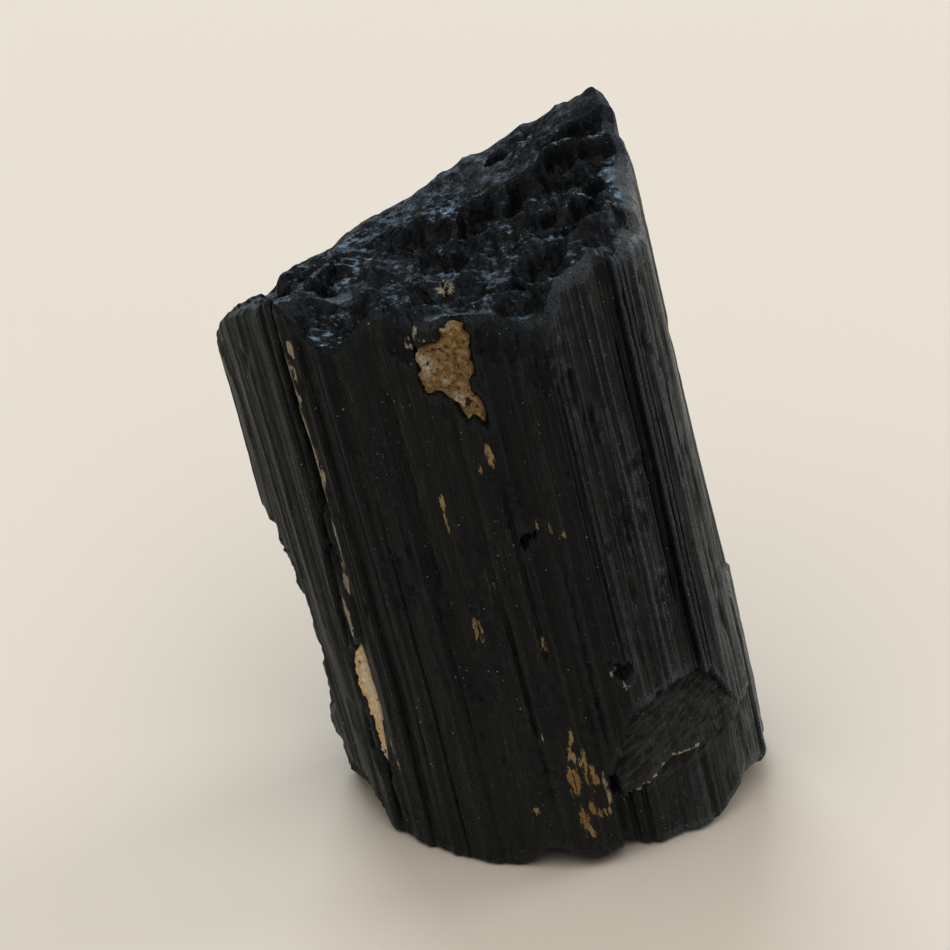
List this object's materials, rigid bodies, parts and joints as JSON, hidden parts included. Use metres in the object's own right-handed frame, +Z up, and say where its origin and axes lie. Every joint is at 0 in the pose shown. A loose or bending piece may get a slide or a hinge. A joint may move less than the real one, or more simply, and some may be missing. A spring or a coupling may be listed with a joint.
{
  "type": "black tourmaline crystal",
  "caption": "Broken, leaning prism of black tourmaline with lengthwise striations, a rough sloping top and a pale mineral patch, standing on its flat foot.",
  "frame": {"origin": "middle of the flat foot that the crystal stands on", "axes": "+Z up, -Y towards the front with the pale patch, +X towards the higher side of the broken top; the crystal leans towards -X"},
  "size_m": [0.0422, 0.0246, 0.0573],
  "materials": {
    "tourmaline": "satin, finely striated black crystal",
    "feldspar": "matt, grainy",
    "seam_feldspar": "matt"
  },
  "bodies": {
    "root": {"tourmaline_crystal": "tourmaline", "feldspar_patch": "feldspar", "feldspar_seam": "seam_feldspar"}
  },
  "joints": []
}
